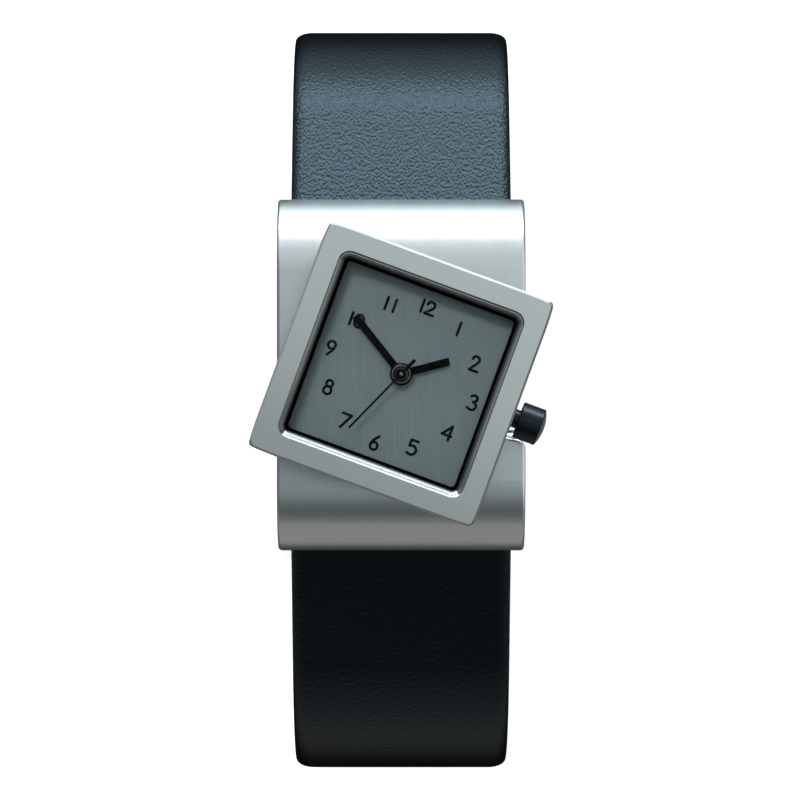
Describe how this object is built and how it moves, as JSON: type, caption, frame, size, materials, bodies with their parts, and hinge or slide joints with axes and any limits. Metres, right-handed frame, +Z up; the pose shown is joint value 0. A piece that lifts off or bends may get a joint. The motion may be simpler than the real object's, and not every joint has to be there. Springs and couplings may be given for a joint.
{
  "type": "wristwatch",
  "caption": "Square analogue wristwatch: the head turns flat on a curved steel base plate, with a leather strap closed by a pin buckle.",
  "frame": {"origin": "centre of the bounding box in plan, on the table under the buckle and keepers", "axes": "+Z up out of the dial, +Y towards the strap half beside 12 o'clock, +X towards the crown's side of the base plate"},
  "size_m": [0.0296, 0.0774, 0.0578],
  "materials": {
    "satin_steel": "satin",
    "polished_steel": "polished",
    "black_leather": "fine grain, satin",
    "lining_leather": "matt",
    "black_gloss": "gloss",
    "silver_dial": "fine brushed",
    "crystal_glass": "clear",
    "brass": "satin",
    "copper": "lacquered copper wire",
    "battery_steel": "satin",
    "board_green": "matt",
    "rubber": "matt",
    "white_plastic": "matt"
  },
  "bodies": {
    "base": {"base_plate": "satin_steel", "pivot_bush": "brass", "spring_bar_12": "polished_steel", "spring_bar_6": "polished_steel", "wrist_cover": "satin_steel", "cover_screws": "polished_steel", "strap_12_top": "black_leather", "strap_12_lining": "lining_leather", "strap_6_top": "black_leather", "strap_6_lining": "lining_leather", "fixed_keeper": "black_leather", "buckle_frame": "polished_steel", "buckle_bar": "polished_steel"},
    "keeper": {"sliding_keeper": "black_leather"},
    "tongue": {"buckle_tongue": "polished_steel"},
    "head": {"case_middle": "satin_steel", "bezel_frame": "satin_steel", "crystal": "crystal_glass", "crystal_gasket": "rubber", "dial_ring": "black_gloss", "dial": "silver_dial", "movement_ring": "white_plastic", "main_plate": "brass", "train_bridge": "brass", "coil_winding": "copper", "coil_core": "polished_steel", "stator": "polished_steel", "circuit_board": "board_green", "quartz_can": "battery_steel", "battery": "battery_steel", "battery_clamp": "polished_steel", "movement_screws": "polished_steel", "case_back": "satin_steel", "case_back_gasket": "rubber", "case_back_screws": "polished_steel", "crown_tube": "polished_steel", "pivot_hub": "polished_steel", "thrust_washer": "white_plastic", "wave_washer": "polished_steel", "pivot_nut": "polished_steel", "setting_lever": "polished_steel"},
    "second": {"second_hand": "black_gloss", "seconds_wheel": "brass"},
    "minute": {"minute_hand": "black_gloss", "centre_wheel": "brass", "cannon_pinion": "brass"},
    "hour": {"hour_hand": "black_gloss", "hour_wheel": "brass"},
    "third": {"third_wheel": "brass"},
    "motion": {"motion_wheel": "brass"},
    "intermediate": {"intermediate_wheel": "brass"},
    "rotor": {"rotor": "battery_steel"},
    "seal": {"crown_seal": "rubber"},
    "crown": {"crown": "black_gloss", "stem": "polished_steel"}
  },
  "joints": [
    {"name": "head_swivel", "type": "hinge", "parent": "base", "child": "head", "pos_m": [0, 0.00263, 0.0507], "axis": [0, 0, 1], "continuous": true},
    {"name": "second_turn", "type": "hinge", "parent": "head", "child": "second", "pos_m": [0, 0.00263, 0.055], "axis": [0, 0, -1], "continuous": true},
    {"name": "minute_turn", "type": "hinge", "parent": "head", "child": "minute", "pos_m": [0, 0.00263, 0.055], "axis": [0, 0, -1], "continuous": true},
    {"name": "hour_turn", "type": "hinge", "parent": "head", "child": "hour", "pos_m": [0, 0.00263, 0.055], "axis": [0, 0, -1], "continuous": true},
    {"name": "third_turn", "type": "hinge", "parent": "head", "child": "third", "pos_m": [0.00117, 0.00582, 0.053], "axis": [0, 0, -1], "continuous": true},
    {"name": "motion_turn", "type": "hinge", "parent": "head", "child": "motion", "pos_m": [0.00081, 0.00037, 0.0543], "axis": [0, 0, -1], "continuous": true},
    {"name": "intermediate_turn", "type": "hinge", "parent": "head", "child": "intermediate", "pos_m": [-0.00336, 0.00234, 0.053], "axis": [0, 0, -1], "continuous": true},
    {"name": "rotor_turn", "type": "hinge", "parent": "head", "child": "rotor", "pos_m": [-0.00571, 0.00038, 0.053], "axis": [0, 0, -1], "continuous": true},
    {"name": "crown_pull", "type": "slide", "parent": "head", "child": "seal", "axis": [0.9385, -0.3453, 0], "range_m": [0, 0.0008]},
    {"name": "crown_turn", "type": "hinge", "parent": "seal", "child": "crown", "pos_m": [0.01119, -0.00171, 0.05335], "axis": [0.9385, -0.3453, 0], "continuous": true},
    {"name": "keeper_slide", "type": "slide", "parent": "base", "child": "keeper", "axis": [0, 1, 0], "range_m": [-0.0023, 0.005]},
    {"name": "tongue_swing", "type": "hinge", "parent": "base", "child": "tongue", "pos_m": [0, -0.00428, 0.0049], "axis": [1, 0, 0], "range_deg": [0, 1]}
  ],
  "couplings": [
    {"joint": "minute_turn", "follows": "second_turn", "ratio": 0.016667},
    {"joint": "hour_turn", "follows": "second_turn", "ratio": 0.0013889},
    {"joint": "third_turn", "follows": "second_turn", "ratio": -0.13333},
    {"joint": "motion_turn", "follows": "second_turn", "ratio": -0.0055556},
    {"joint": "intermediate_turn", "follows": "second_turn", "ratio": -4},
    {"joint": "rotor_turn", "follows": "second_turn", "ratio": 30}
  ]
}
